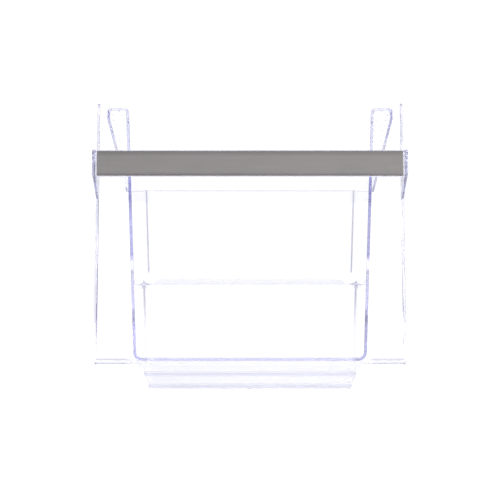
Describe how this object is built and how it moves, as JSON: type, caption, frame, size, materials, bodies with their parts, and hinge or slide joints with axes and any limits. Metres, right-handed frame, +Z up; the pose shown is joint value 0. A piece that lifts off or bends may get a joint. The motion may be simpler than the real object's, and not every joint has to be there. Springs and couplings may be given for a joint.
{
  "type": "refrigerator drawer",
  "caption": "Clear pull-out refrigerator or freezer drawer: stepped bin with side rails, wider front panel with upright ears, and a satin grey trim on its hooked handle lip.",
  "frame": {"origin": "middle of the outer box in plan, on the plane that the floor rests on", "axes": "+Y from the front panel to the back, +Z up, +X to the right when facing the front panel"},
  "size_m": [0.3066, 0.4092, 0.265],
  "materials": {
    "clear_bin": "clear, polished",
    "clear_panel": "clear, polished",
    "satin_grey": "satin"
  },
  "bodies": {
    "root": {"bin": "clear_bin", "front_panel": "clear_panel", "handle_trim": "satin_grey"}
  },
  "joints": []
}
